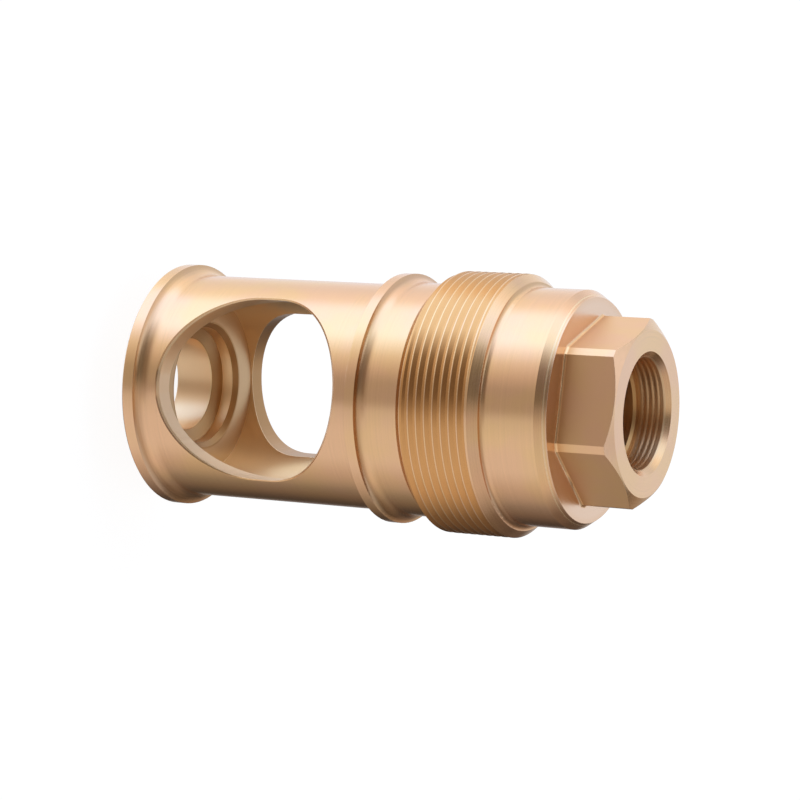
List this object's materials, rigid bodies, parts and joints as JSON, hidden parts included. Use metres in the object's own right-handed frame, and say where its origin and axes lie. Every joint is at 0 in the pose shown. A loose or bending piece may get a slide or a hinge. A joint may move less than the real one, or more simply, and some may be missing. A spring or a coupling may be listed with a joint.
{
  "type": "turned valve body",
  "caption": "Turned brass body: flanged tube with a window on each side, fine threaded collar and hexagon head with a threaded port.",
  "frame": {"origin": "centre of the spigot's end face, on which the part stands", "axes": "+Z along the turning axis, from the flange towards the hexagon; the wide front window faces -Y"},
  "size_m": [0.045, 0.045, 0.097],
  "materials": {
    "brass": "fine turned satin"
  },
  "bodies": {
    "root": {"turned_body": "brass"}
  },
  "joints": []
}
